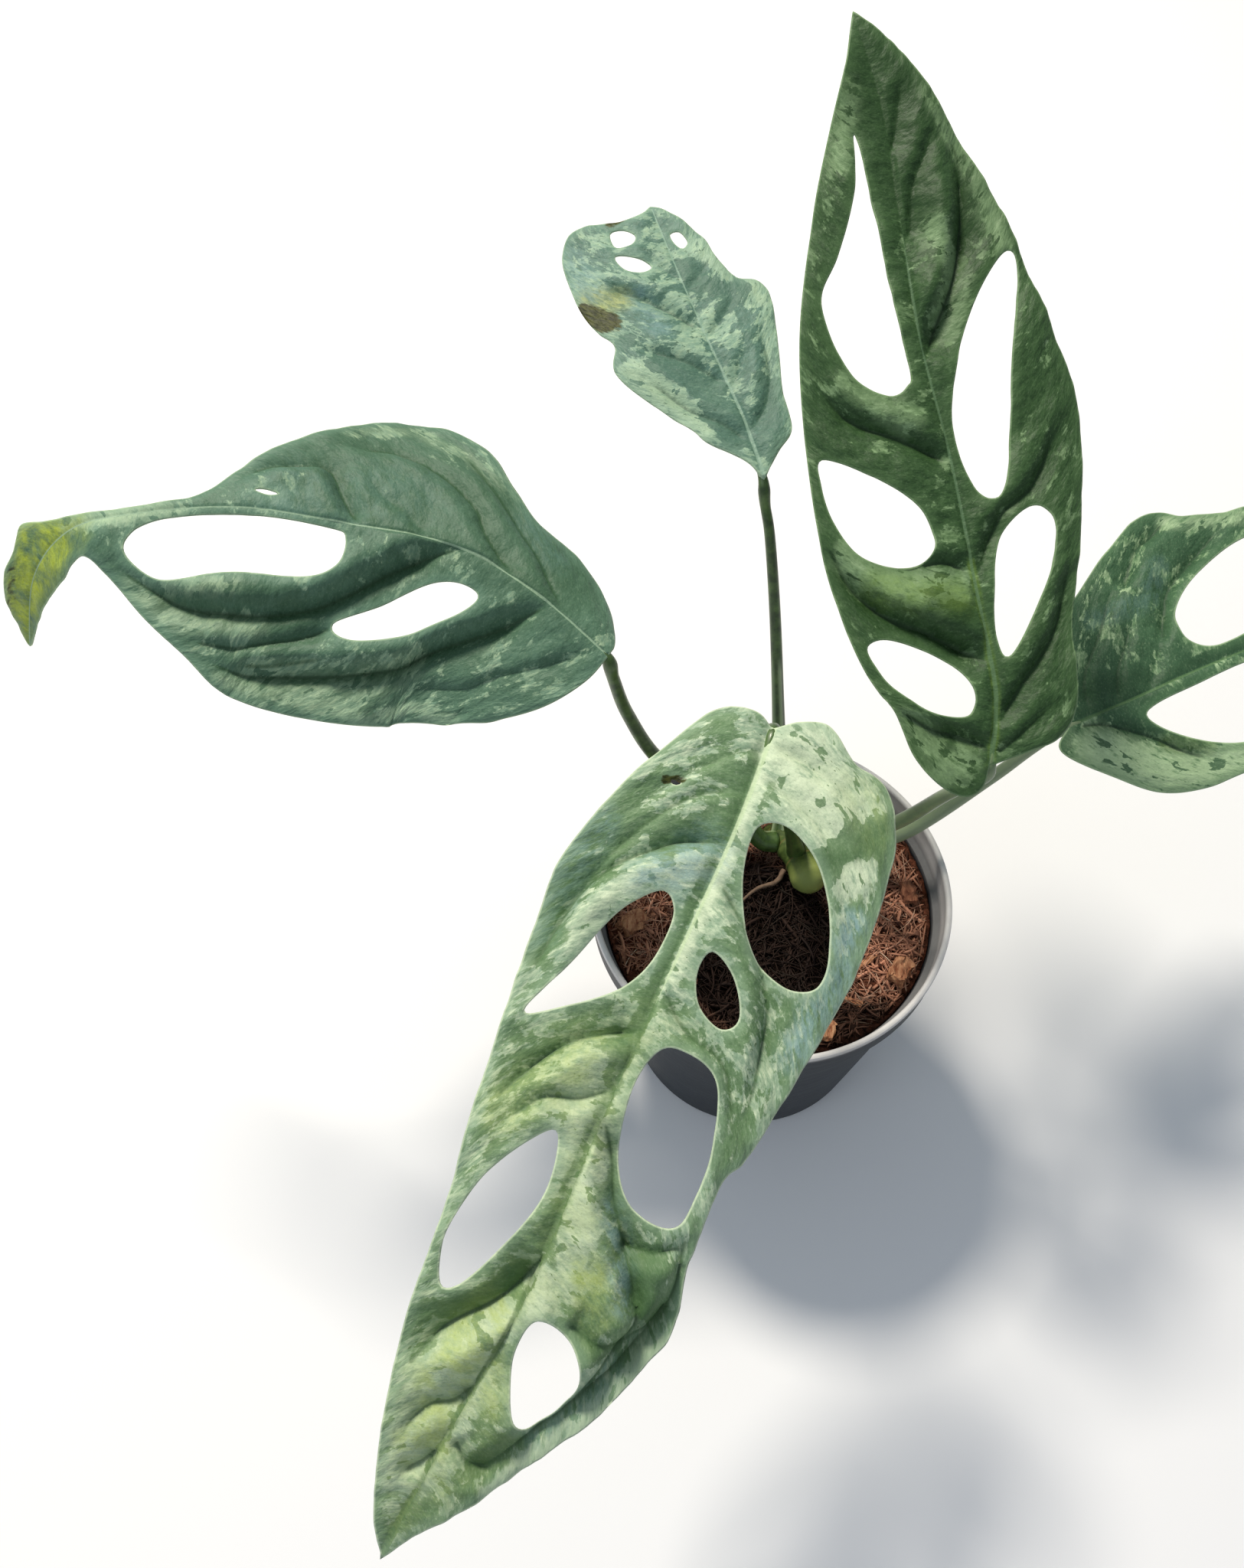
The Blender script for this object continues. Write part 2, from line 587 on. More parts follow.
# ---------------------------------------------------------------------------------------------
# Leaf stalks: smooth green stalks, each with a shallow channel and two thin pale sheath wings
# along its lower part, and a slightly thicker bending joint just under its blade.
stalk_finish, shader = new_material("living stalk skin")
spot = add_node(stalk_finish, "TexCoord").outputs["Object"]
share, wing, bloom = [
    add_node(stalk_finish, "Attribute", attribute_name=kind).outputs["Fac"]
    for kind in ("share", "wing", "bloom")]
streaks = add_node(stalk_finish, "TexNoise", {
    "Vector": spot, "Scale": 260.0, "Detail": 5.0, "Roughness": 0.65}).outputs["Fac"]
green = lay_colours(stalk_finish, linear("2b421a"), (
    ("536f35", streaks, 0.4, 0.72, 1.0), ("8f9f7c", bloom, 0.0, 1.0, 1.0),
    ("a3b58a", wing, 0.0, 1.0, 1.0), ("5d7a45", share, 0.93, 0.97, 0.5)))
set_inputs(shader, {"Base Color": green, "Roughness": 0.38, "Coat Weight": 0.1})

STALK_SIDES = 32
WING_TURN = 0.62                   # angle in radians from the channel to each wing


def sheath_shape(share, turns, sheath_end, channel_turn):
    """Give how whole the sheath is at a share of a stalk, and each turn's angle from its channel."""
    away = np.abs((turns - channel_turn + math.pi) % math.tau - math.pi)
    return np.clip((sheath_end - share) / 0.04, 0.0, 1.0), away


for leaf_name, sheath_end, channel_turn, thick, bloom_share, route in (
        ("front", 0.35, 1.5, 1.0, 0.0, [
            (8.5, 13.5, 84), (5, 9, 105), (-2, 3, 139), (-6.5, -4.5, 166), (-7.7, -5.6, 174.5),
            (-8.4, -9.4, 179.2), (-10.5, -15, 178.9)]),
        ("left", 0.45, 1.2, 1.0, 0.0, [
            (3, 17.5, 83), (-1.5, 17.5, 84.5), (-7, 20.5, 91), (-17, 22.5, 102), (-31.5, 21, 122),
            (-39.5, 22, 141), (-43, 22, 156), (-44.5, 22.8, 163.4), (-49, 26.5, 165.2)]),
        ("back", 0.5, -1.2, 0.85, 0.0, [
            (4, 21, 82), (4.5, 25, 86), (4, 29, 92), (2.5, 40, 110), (-0.5, 52, 140),
            (-3.5, 60.5, 163), (-5.3, 64.5, 171.5), (-6.2, 67.5, 177.4), (-8, 73, 179)]),
        ("tall", 0.4, 1.5, 1.0, 0.5, [
            (9.5, 17, 84), (12.5, 18.5, 88), (19.5, 12, 96), (30, 4.5, 116.5), (38, -1.5, 141),
            (43.4, -4.5, 153), (44.2, -4, 158.8), (44.5, 0, 161.6)]),
        ("right", 0.4, 1.5, 1.0, 0.8, [
            (11, 9, 84), (16, 11.5, 84.5), (24, 13, 88), (39, 14, 97), (57.5, 20, 113.5),
            (66, 23, 122.5), (72, 25.2, 127.4), (76, 26, 129.8), (81, 27.5, 130.8)])):

    def stalk_width(share, turns):
        """Give the stalk's radius round its channel and wings at a share of its length."""
        body = thick * np.interp(share, [0, 0.05, 0.4, 0.88, 0.92, 0.955, 1.0],
                                 [3.0, 2.6, 1.95, 1.55, 1.85, 1.3, 0.4])
        sheath, away = sheath_shape(share, turns, sheath_end, channel_turn)
        channel = (0.08 + 0.2 * sheath) * np.exp(-(away / 0.45) ** 2)
        wings = 0.3 * sheath * np.exp(-((away - WING_TURN) / 0.14) ** 2)
        return body * (1.0 - channel + wings)

    stalk = stem_mesh("leaf_stalk_" + leaf_name, route, stalk_width, stalk_finish, sides=STALK_SIDES)
    point_count = len(stalk.data.vertices)
    turns = np.linspace(0.0, math.tau, STALK_SIDES, endpoint=False)
    stations = np.linspace(0.0, 1.0, point_count // STALK_SIDES)
    sheath, away = sheath_shape(stations, turns, sheath_end, channel_turn)
    mark_points(stalk, "wing", np.outer(sheath, np.exp(-((away - WING_TURN) / 0.2) ** 2)).ravel())
    mark_points(stalk, "bloom", [bloom_share] * point_count)
    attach(stalk, "root")
    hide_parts("stalk_" + leaf_name)

# ---------------------------------------------------------------------------------------------
# Leaf blades: five thin leathery blades with natural holes, puckered between their side veins and
# marbled in mint and green. Each is one skin about half a millimetre thick, with a raised rib below.
#
# The midrib runs from the stalk to the tip. Edges, holes, veins and tints are in the blade's own
# flat measure: distance along the midrib, then distance out from it, right positive as seen from
# the stalk with the upper face up. "faces" are upward normals spread from base to tip, and "fold"
# gives the tilts of the right and left halves in degrees. A vein is its depth, then its line. The
# rib's pale line stops at the share "rib_end". "wrinkle" gives the heights of the fine puckers and
# of the broad swells. A tint is its radius, its strength and its line.
LEAVES = {
    "front": dict(
        midrib=[(-8, -9, 182), (-17, -32, 178), (-31, -61, 170), (-46, -92, 162), (-59, -120, 151),
            (-74, -143, 138), (-88, -164, 122)],
        faces=[(0.1, -0.15, 1), (0, -0.7, 1)],
        fold=[(2, 8), (-2, 4), (0, 0)],
        rib_dip=(1.9, 0.9),
        rib_end=0.3,
        cup=(0.004, 0.004),
        right=[(0, 0), (-2, 5), (0, 12), (6, 17), (20, 24), (37, 29), (51, 31), (80, 27), (110, 23),
            (139, 19.5), (160, 13), (178, 6), (187, 0)],
        left=[(0, 0), (-3, 5), (-4, 11), (2, 19), (4, 26), (11, 31), (22, 34), (44, 35), (59, 33.5),
            (84, 30), (92, 27), (109, 27), (122, 30), (130, 28), (154, 18), (175, 6), (187, 0)],
        holes=[[(44, 9), (46, 5), (52, 4), (60, 5), (67, 9), (74, 17), (78, 23.5), (65, 19),
                (52, 15)],
            [(23, -4), (21, -10), (26, -19), (36, -26), (47, -29), (51, -24), (49, -16), (43, -10),
                (33, -5)], [(51, -6), (54, -12), (61, -16.5), (64.5, -14), (62, -8), (56, -5)],
            [(72, -8), (74, -17), (86, -22), (97, -23), (105, -21), (104, -12), (96, -6), (84, -3),
                (75, -4)],
            [(97, 9), (99, 6), (109, 5), (122, 9), (132, 13), (133, 16.5), (123, 19.5), (109, 17)],
            [(130, -4), (131, -12), (138, -17), (148, -14), (149, -10), (144, -6), (137, -3)],
            [(19.3, 15.2), (20.3, 14.4), (21, 15.6), (20, 17)]],
        veins=[(0.7, [(6, 0), (10, 7), (20, 16), (34, 24)]),
            (0.8, [(16, 0), (22, 11), (38, 21), (60, 27)]),
            (2.4, [(28, 0), (34, 12), (50, 24), (74, 26)]),
            (2.8, [(71, 0), (78, 11), (86, 17), (97, 22)]),
            (1.2, [(84, 0), (89, 6), (92, 13), (101, 19)]),
            (3.6, [(119, 0), (126, 2), (132, 5), (141, 11), (152, 14)]),
            (1.5, [(147, 0), (152, 2), (155, 6), (163, 9)]), (1.2, [(162, 0), (166, 2), (170, 5)]),
            (0.6, [(4, 0), (6, -10), (10, -20), (18, -29)]),
            (0.6, [(12, 0), (15, -9), (19, -17), (28, -27)]),
            (1.6, [(36, 0), (46, -13), (53, -19), (61, -23), (83, -27)]),
            (1.2, [(62, 0), (68, -8), (71, -18), (84, -26)]),
            (3.2, [(90, 0), (97, -5), (105, -9), (117, -18), (124, -22), (131, -20), (138, -19),
                (144, -17)]), (1.8, [(112, -12), (111, -19), (107, -26)]),
            (1.3, [(128, -9), (129, -14), (129, -18), (127, -23)]),
            (2.6, [(104, -24), (120, -27), (136, -21), (157, -11), (166, -6)]),
            (1.4, [(158, -1), (161, -6), (160, -12)]), (1.2, [(118, -27), (124, -25), (129, -20)])],
        wrinkle=(0.7, 1),
        tints=dict(
            pale=[(5, 0.6, [(33, 3), (46, 14), (58, 19)]), (12, 1, [(5, -8), (14, -17)]),
                (3.5, 0.9, [(38, -31)]), (5, 1, [(24, -27), (26, -26)]),
                (9, 0.7, [(146, 5), (166, 4)]), (5, 0.6, [(108, -3), (120, -6)]),
                (7, 0.5, [(84, 5), (104, 6)]), (5, 0.5, [(88, -2), (100, -2)]),
                (1.6, 0.9, [(2, -1.2), (60, -1)]), (4, 1, [(104, -1), (113, -5)]),
                (4, 1, [(123, -1), (130, -4)]), (6, 0.7, [(134, 3), (150, 5)]),
                (2, 0.8, [(125, -29), (140, -23), (164, -12)])],
            deep=[(4, 0.7, [(26, -19), (19, -25), (13, -31), (24, -35)]),
                (6, 0.5, [(34, 30), (66, 28)]), (2, 0.5, [(5, 1.6), (60, 2), (118, 1.2)]),
                (2.5, 0.5, [(128, -13), (130, -18)]), (3, 0.9, [(118, -19), (121, -24)]),
                (5, 0.5, [(114, -20)]), (0.9, 0.9, [(66, 0.3), (120, 0.3), (185, 0.3)]),
                (2.5, 0.8, [(123, 3), (130, 7), (138, 13)]), (3, 0.9, [(152, -10), (160, -8)])],
            solid=[(6, 0.9, [(35, 21), (31, 22)]), (6, 0.9, [(26, 4), (33, 12)]),
                (4.5, 1, [(30, -19), (24, -20), (19, -24), (14, -29)]),
                (4, 1, [(13, -33), (22, -36), (32, -35), (45, -33)]),
                (6, 1, [(113, -19), (116, -23)])],
            blue=[(8, 0.8, [(32, 4), (42, 11)]), (5, 1, [(34, -30), (38, -30)]),
                (6, 0.9, [(44, -32), (62, -31)]), (7, 0.6, [(36, 28), (62, 30)]),
                (4, 0.8, [(106, -9), (112, -13), (120, -17)]), (4, 0.5, [(133, -22), (150, -15)])],
            lime=[(24, 0.35, [(84, 4), (172, 2)]), (9, 0.3, [(8, -24), (14, -30)]),
                (6, 1, [(118, -9), (124, -13)]), (8, 0.9, [(134, 5), (148, 6), (162, 4)]),
                (6, 0.8, [(140, -2), (148, -4)]), (9, 0.6, [(80, 9), (96, 18)]),
                (5, 0.5, [(166, -3), (178, 0)])],
            dry=[(1.6, 0.9, [(19, 14.5), (20.5, 18)])])),
    "left": dict(
        midrib=[(-44, 22, 166), (-61, 35, 173), (-81, 45, 179), (-108, 48, 184), (-132, 49, 188),
            (-159, 47, 187), (-173, 46, 182), (-184, 42, 170), (-191, 36, 150)],
        faces=[(0.1, -0.25, 1), (0, -0.25, 1), (-0.05, -0.2, 1), (-0.3, -0.3, 1),
            (-0.5, -0.8, 0.4)],
        fold=[(-30, -16), (-14, -14), (-8, -10), (-4, -6), (0, 0)],
        rib_dip=(0.5, 0.7),
        rib_end=1,
        cup=(0.004, 0.003),
        right=[(0, 0), (1, 5), (6, 11), (14, 16), (24, 19), (34, 20), (41, 26), (48, 35), (57, 39),
            (67, 37.5), (79, 30), (91, 20), (101, 8), (109, 3), (122, 2.2), (136, 3), (144, 6),
            (151, 11.5), (156, 9), (163, 9.7), (170, 8.5), (175, 4), (179, 0)],
        left=[(0, 0), (0, 8), (3, 18.5), (8, 27), (14, 33), (33, 42), (53, 45), (74, 46),
            (93, 44.5), (103, 42), (112, 34), (121, 25), (129, 14), (136, 8), (149, 8.5),
            (165, 4.5), (179, 0)],
        holes=[[(71, -4), (75, -2), (96, -2), (116, -2.5), (123, -6), (123, -11), (115, -17),
                (100, -16), (80, -15), (72, -11)],
            [(71, -24), (60, -18), (49, -11), (40, -8), (34, -9), (38, -16), (50, -23), (66, -27)],
            [(88, 4.8), (90.5, 5.6), (93.5, 5.2), (91, 4.2)]],
        veins=[(0.7, [(3, -1), (11, -14), (19, -23), (28, -31), (49, -38)]),
            (3, [(18, 0), (29, -17), (45, -29), (65, -35), (88, -39), (103, -37), (110, -33)]),
            (3.2, [(43, 0), (58, -9), (69, -17), (77, -22), (88, -25), (102, -25), (112, -23),
                (121, -17), (129, -10)]),
            (1.8, [(70, -24), (76, -28), (85, -31), (97, -33), (113, -31)]),
            (1, [(71, -32), (84, -36), (98, -37)]),
            (0.9, [(14, 0), (18, 3), (30, 11), (35, 14), (43, 21), (53, 34), (61, 36)]),
            (1.3, [(29, 0), (40, 7), (45, 14), (54, 22), (62, 26), (69, 26), (80, 24)]),
            (0.6, [(52, 0), (58, 6), (66, 12), (70, 19)]),
            (1.5, [(68, 0), (74, 9), (78, 16), (84, 16), (92, 13), (99, 7)])],
        wrinkle=(0.4, 1.1),
        tints=dict(
            pale=[(3, 0.4, [(40, 24), (58, 34)]), (2.5, 0.4, [(58, 36), (76, 30)]),
                (3, 0.7, [(96, -19), (114, -19)]), (7, 0.35, [(44, -30), (66, -38), (92, -40)]),
                (4, 0.45, [(88, -28), (110, -27), (124, -18)]),
                (2.5, 0.5, [(103, -40), (60, -44), (20, -36)]), (4, 0.9, [(112, -1), (138, 2)]),
                (1.5, 0.9, [(140, 7), (150, 10)])],
            deep=[(4, 0.6, [(80, -20), (100, -21), (116, -21)]), (22, 0.6, [(24, 12), (70, 14)]),
                (3, 0.7, [(18, 2), (66, 2)])],
            blue=[(6, 0.7, [(26, 13), (34, 17)]), (16, 0.5, [(60, 12), (84, 6)])],
            lime=[(16, 1, [(146, 2), (175, 0)])],
            dry=[(3, 0.5, [(160, 7), (170, 6)])])),
    "back": dict(
        midrib=[(-6, 66, 180), (-11, 83, 184), (-19, 104, 189), (-26, 124, 193), (-32, 143, 196)],
        faces=[(0, -0.25, 1), (0, -0.3, 1)],
        fold=[(4, 6), (2, 4), (0, 2)],
        rib_dip=(0.5, 0.5),
        rib_end=1,
        cup=(0.003, 0.003),
        right=[(0, 0), (6, 5.5), (11, 10.5), (21, 12), (30, 15), (40, 18), (50, 20), (55, 18.5),
            (58, 14), (66, 11), (72, 10), (80, 6.5), (85.5, 3), (88, 0)],
        left=[(0, 0), (6, 3.5), (13, 11), (18, 13.5), (27, 19), (40, 25.5), (48, 23), (53, 25.5),
            (60, 27.5), (68, 28), (78, 27.5), (85, 24), (87, 18), (85, 9), (86, 3), (88, 0)],
        holes=[[(82, -13), (82, -9.5), (79, -7), (76.5, -9), (77, -13)],
            [(74, -14), (71, -8), (68, -6), (67, -9), (69, -13)],
            [(77, 2), (76.5, 4.5), (73, 5.5), (71.5, 3.5), (74, 2)]],
        veins=[(0.8, [(13, 0), (20, 7), (28, 11), (36, 13), (44, 15)]),
            (0.5, [(26, 0), (33, 6), (40, 9)]), (0.6, [(42, 0), (48, 7), (54, 12)]),
            (0.4, [(58, 0), (62, 5), (66, 8)]),
            (0.9, [(10, 0), (18, -6), (24, -12), (33, -17), (40, -24)]),
            (0.8, [(28, 0), (37, -7), (41, -12), (47, -20)]),
            (1.2, [(45, 0), (56, -8), (62, -14), (68, -22)]), (0.5, [(62, 0), (68, -4), (74, -7)])],
        wrinkle=(0.4, 0.7),
        tints=dict(
            pale=[(5, 1, [(38, -21), (29, -16), (17, -12)]), (3, 0.9, [(54, 17), (48, 18)]),
                (4, 0.7, [(70, 8), (60, 14)])],
            solid=[(4.5, 1, [(39, -14), (33, -8)]), (6, 1, [(30, -6), (12, -4)]),
                (3.5, 1, [(48, -20)]), (4, 0.9, [(54, 13), (50, 8)]), (5, 0.9, [(24, 9), (6, 3)]),
                (5, 0.9, [(64, 2), (58, 6)])],
            blue=[(5, 0.8, [(49, -10), (60, -13)]), (6, 0.7, [(66, -24), (78, -26)])],
            lime=[(5, 1, [(63, -25), (61, -17)])],
            dry=[(5, 1, [(60, -27), (55, -22)]), (2.5, 0.8, [(85, -12), (86, -9)])])),
    "tall": dict(
        midrib=[(44, -6, 161), (45, 9, 170), (41, 31, 181), (36, 58, 194), (29, 84, 208),
            (25, 110, 221), (21, 134, 234), (14, 154, 246)],
        faces=[(0, -0.48, 1), (0, -0.48, 1)],
        fold=[(4, 6), (2, 2), (0, 0)],
        rib_dip=(1, 1.2),
        rib_end=0.65,
        cup=(0.003, 0.003),
        right=[(0, 0), (4, 8), (8, 15), (14, 18.5), (27, 20), (41, 24), (60, 29), (79, 32.5),
            (95, 32), (110, 30), (130, 25), (158, 13.5), (175, 6), (184, 0)],
        left=[(0, 0), (-5, 1.5), (-7.5, 5), (-6.5, 10), (-2, 16), (7, 22), (24, 28.5), (39, 32),
            (58, 34), (87, 32), (127, 23), (158, 13), (175, 4.5), (184, 0)],
        holes=[[(154, -8), (130, -6), (98, -4), (92, -6), (91, -11), (98, -18), (114, -21.5),
                (125, -16), (140, -10)],
            [(122, 24.5), (114, 26), (90, 19), (66, 11.5), (62, 7), (67, 3.5), (78, 2), (90, 5),
                (112, 16)],
            [(80, -29.5), (73, -20), (63, -10), (53, -8), (49, -14), (53, -25), (63, -30),
                (73, -31)],
            [(33, -27.5), (33, -21), (25, -9), (17, -5), (11, -7), (12, -16), (20, -23),
                (27, -26.5)],
            [(59, 16), (56, 20.5), (48, 19.5), (37, 14), (25, 4.5), (29, 2.2), (41, 4), (53, 8)]],
        veins=[(1.6, [(4, 0), (6, -9), (7, -15), (12, -24)]),
            (2.8, [(24, 0), (33, -12), (39, -22), (47, -29), (60, -33)]),
            (1.6, [(46, 0), (49, -7), (49, -16), (56, -28)]),
            (1.8, [(72, 0), (80, -10), (88, -21), (98, -27)]), (1, [(2, 0), (10, 8), (16, 15)]),
            (1.6, [(9, 0), (18, 6), (24, 12), (32, 18), (46, 23)]),
            (1.4, [(44, 0), (58, 9), (64, 18), (78, 28)]),
            (3, [(97, 0), (104, 4), (110, 7.5), (118, 11.5), (126, 14), (136, 15.5), (146, 16),
                (153, 13)]), (1, [(126, 0), (130, 2), (140, 4), (149, 9), (157, 12)]),
            (0.8, [(148, 0), (160, 4), (168, 7)])],
        wrinkle=(0.6, 1.5),
        tints=dict(
            pale=[(7, 0.9, [(42, -7), (46, -17), (53, -27)]), (5, 0.8, [(1, -6), (-3, -12)]),
                (5, 0.6, [(3, -14), (10, -22)]), (5, 0.8, [(104, 6), (116, 12), (128, 7)]),
                (5, 0.6, [(84, -8), (96, -18)]), (3, 0.5, [(132, 20), (126, 23)]),
                (3, 0.8, [(118, 24), (132, 23), (160, 11)]), (4, 0.7, [(147, -13), (166, -7)])],
            deep=[(4, 0.8, [(36, -4), (40, -10)]), (14, 0.6, [(140, 4), (170, 2)])],
            lime=[(6, 0.6, [(40, -5), (45, -22)]), (1.2, 0.7, [(0, 0), (48, 0)])])),
    "right": dict(
        midrib=[(75, 25, 132), (91, 31, 135), (110, 39, 138), (138, 50, 141), (170, 62, 143),
            (222, 78, 143)],
        faces=[(0.1, -0.2, 1), (0.1, -0.1, 1)],
        fold=[(-4, 2), (-4, 0), (-4, 0)],
        rib_dip=(0.6, 0.9),
        rib_end=0.8,
        cup=(0.003, 0.003),
        right=[(0, 0), (-5, 4), (-3, 9), (5, 17), (14, 25), (24, 28.5), (35, 29), (55, 30),
            (80, 31), (104, 27), (128, 18), (147, 7), (157, 0)],
        left=[(0, 0), (-4, 8), (-2, 18), (8, 27), (21, 33), (33, 40), (46, 47), (54, 48), (60, 43),
            (70, 40), (90, 38), (112, 30), (134, 18), (150, 6), (157, 0)],
        holes=[[(39, -8), (39, -15), (45, -21), (55, -26), (68, -30), (80, -29), (82, -22),
                (72, -13), (60, -6), (46, -4)],
            [(19, 7), (22, 4), (36, 3.5), (52, 3.2), (62, 7), (62, 15), (54, 22), (40, 22),
                (27, 16)], [(93, -8), (98, -19), (108, -23), (117, -18), (116, -10), (104, -5)],
            [(77, 7), (85, 5), (98, 8), (106, 14), (98, 21), (84, 20)]],
        veins=[(0.8, [(6, 0), (10, -11), (21, -21), (28, -28), (36, -34)]),
            (0.8, [(14, 0), (18, -8), (24, -14), (32, -22)]),
            (1.6, [(32, -28), (41, -38), (47, -41), (57, -45)]),
            (0.5, [(22, 0), (26, -3), (32, -10), (37, -18)]),
            (1.8, [(33, -10), (38, -18), (43, -24), (52, -29), (60, -33), (68, -36)]),
            (1.6, [(74, 0), (82, -10), (92, -22)]), (1, [(118, 0), (126, -8), (136, -12)]),
            (1.6, [(1, 1), (8, 3), (17, 10), (25, 19), (32, 24)]),
            (1.4, [(58, 0), (68, 10), (74, 22)]), (1.2, [(104, 0), (114, 8), (124, 14)])],
        wrinkle=(0.4, 1.3),
        tints=dict(
            pale=[(10, 1, [(4, 10), (12, 18), (24, 27), (44, 28)]),
                (5, 0.6, [(56, -43), (72, -38)])],
            deep=[(5, 0.8, [(8, -7), (24, -3)]), (2, 0.7, [(4, -2), (60, -2), (110, -2)])],
            blue=[(4, 0.6, [(20, -24), (36, -23), (44, -31)])],
            lime=[(3, 0.4, [(21, 14), (30, 19)])])),
}
BLADE_THICKNESS = 0.5
EDGE_STEP = 0.8                    # spacing of mesh points along edges and holes
SKIN_STEP = 0.8                    # spacing of mesh points between them
VEIN_STEP = 0.8                    # spacing of mesh points along the rib and veins
RIB_STRIP = 1.7                    # half width of the strip along the rib with its own points
EDGE_ROW = 0.4                     # a row of mesh points lies this far inside each edge
EDGE_ROW_CLEAR = 0.33              # the row stays this far from every edge
EDGE_CLEAR = 0.75                  # all other points stay this far from every edge
FOLD_DEPTH = 1.5                   # how deep a vein of depth one is
TINTS = ("pale", "deep", "solid", "blue", "lime", "dry")


def spread(values, shares):
    """Read evenly spread numbers or vectors at shares of the way along them."""
    table = np.array(values, float)
    stations = np.linspace(0.0, 1.0, len(table))
    return np.stack([np.interp(shares, stations, column) for column in table.T], axis=1)


def bent_surface(shape, along, out):
    """Give the points and upward directions of a blade's bent upper face."""
    rib = smooth_curve(shape["midrib"], 1.0)
    steps = np.linalg.norm(np.diff(rib, axis=0), axis=1)
    travelled = np.concatenate([[0.0], np.cumsum(steps)])
    kept = np.clip(along, 0.0, travelled[-1])
    rib_heading = unit(np.gradient(rib, axis=0))
    place = np.stack([np.interp(kept, travelled, column) for column in rib.T], axis=1)
    heading = unit(np.stack([np.interp(kept, travelled, column) for column in rib_heading.T], axis=1))
    shares = kept / travelled[-1]
    side = unit(np.cross(heading, spread(shape["faces"], shares)))
    up = np.cross(side, heading)
    folds = np.radians(spread(shape["fold"], shares))
    fold = np.where(out > 0, folds[:, 0], folds[:, 1])
    cup = np.where(out > 0, *shape["cup"])
    rise = np.abs(out) * np.sin(fold) - cup * out * out
    points = place + heading * (along - kept)[:, None] + side * (out * np.cos(fold))[:, None]
    points += up * rise[:, None]
    lean = fold - 2.0 * cup * np.abs(out)
    return points, unit(up * np.cos(lean)[:, None] - side * (np.sign(out) * np.sin(lean))[:, None])


def inside(loop, spots):
    """Tell which spots lie within a closed loop, by counting the edges that each looks across."""
    odd = np.zeros(len(spots), bool)
    x, y = spots.T
    for (x1, y1), (x2, y2) in zip(loop, np.roll(loop, -1, axis=0)):
        if y1 != y2:
            odd ^= ((y1 > y) != (y2 > y)) & (x < x1 + (y - y1) * (x2 - x1) / (y2 - y1))
    return odd


def line_distance(spots, line):
    """Give each spot's distance to a line, how far along it that is, from 0 to 1, and its side."""
    nearest = np.full(len(spots), 1e9)
    share = np.zeros(len(spots))
    side = np.ones(len(spots))
    for index, (start, stop) in enumerate(zip(line[:-1], line[1:])):
        run = stop - start
        t = np.clip(((spots - start) @ run) / max(run @ run, 1e-9), 0.0, 1.0)
        far = np.linalg.norm(spots - start - t[:, None] * run, axis=1)
        closer = far < nearest
        nearest[closer] = far[closer]
        share[closer] = (index + t[closer]) / (len(line) - 1)
        turn = run[0] * (spots[:, 1] - start[1]) - run[1] * (spots[:, 0] - start[0])
        side[closer] = np.where(turn[closer] > 0, 1.0, -1.0)
    return nearest, share, side


def within(loops, spots):
    """Tell which spots lie inside the first loop and outside the others."""
    kept = inside(loops[0], spots)
    for hole in loops[1:]:
        kept &= ~inside(hole, spots)
    return kept


def rim_distance(loops, spots):
    """Give each spot's distance to the nearest loop."""
    return np.min([line_distance(spots, np.vstack([loop, loop[:1]]))[0] for loop in loops], axis=0)


def soft_noise(along, out, size_along, size_out, seed):
    """Give smooth noise of about -1 to 1 for flat spots, with lumps of the given sizes."""
    return np.array([noise.noise(Vector((a / size_along, o / size_out, seed)))
                     for a, o in zip(along, out)])


def flow_map(shape, length, along, out, on_right):
    """Give millimetres across the side veins, millimetres along them, and the half's width.

    The spots on_right are on the blade's right half, and the others on its left.
    """
    stations = np.linspace(0.0, length, 80)
    widths = []
    for edge in (shape["right"], shape["left"]):
        line = smooth_curve(edge, 1.0)
        reach = np.maximum.accumulate(line[:, 0])
        half = np.maximum(np.interp(stations, reach, line[:, 1]), 3.0)
        widths.append(np.interp(along, stations, half))
    wide = np.where(on_right, *widths)
    depth = np.clip(np.abs(out) / wide, 0.0, 1.1)
    across = along - 0.3 * np.abs(out) - 0.45 * wide * depth ** 3
    run = np.abs(out) + 0.6 * along + np.where(on_right, 0.0, 500.0)
    return across, run, wide


